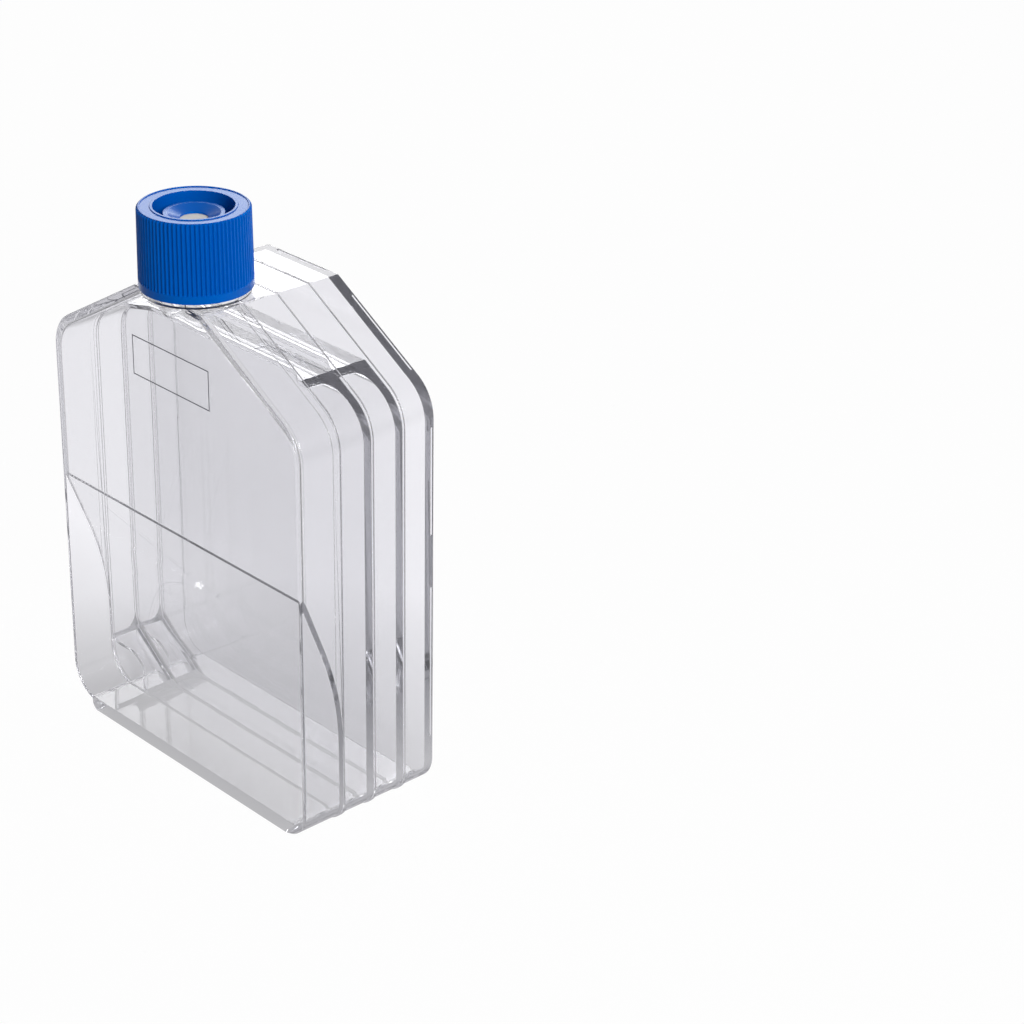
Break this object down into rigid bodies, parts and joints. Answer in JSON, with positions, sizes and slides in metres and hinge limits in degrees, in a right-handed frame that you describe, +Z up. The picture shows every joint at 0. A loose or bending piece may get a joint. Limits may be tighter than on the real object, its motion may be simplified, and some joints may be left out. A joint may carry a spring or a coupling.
{
  "type": "multi-layer cell culture flask",
  "caption": "Clear stacked-tray cell culture flask standing on its foot, with sloped shoulders, a short screw neck and a ribbed vented cap.",
  "frame": {"origin": "on the foot's underside, at the centre of the whole flask's footprint, cap included", "axes": "+Z up along the neck, -Y out of the front plate with the neck nearer the front, +X to the right seen from the front"},
  "size_m": [0.1308, 0.0624, 0.2029],
  "materials": {
    "clear_polystyrene": "clear, smooth and glossy",
    "blue_polyethylene": "opaque satin royal blue",
    "filter_membrane": "matt off-white membrane"
  },
  "bodies": {
    "flask": {"cover": "clear_polystyrene", "intermediate_tray_1": "clear_polystyrene", "intermediate_tray_2": "clear_polystyrene", "base_tray": "clear_polystyrene"},
    "vent": {"vent_membrane": "filter_membrane"},
    "cap": {"cap": "blue_polyethylene"}
  },
  "joints": [
    {"name": "cap_lift", "type": "slide", "parent": "flask", "child": "vent", "axis": [0, 0, 1], "range_m": [0, 0.006]},
    {"name": "cap_turn", "type": "hinge", "parent": "vent", "child": "cap", "pos_m": [0, -0.01265, 0.19], "axis": [0, 0, 1], "range_deg": [0, 540]}
  ],
  "couplings": [
    {"joint": "cap_lift", "follows": "cap_turn", "m_per_rad": 0.00063661}
  ]
}
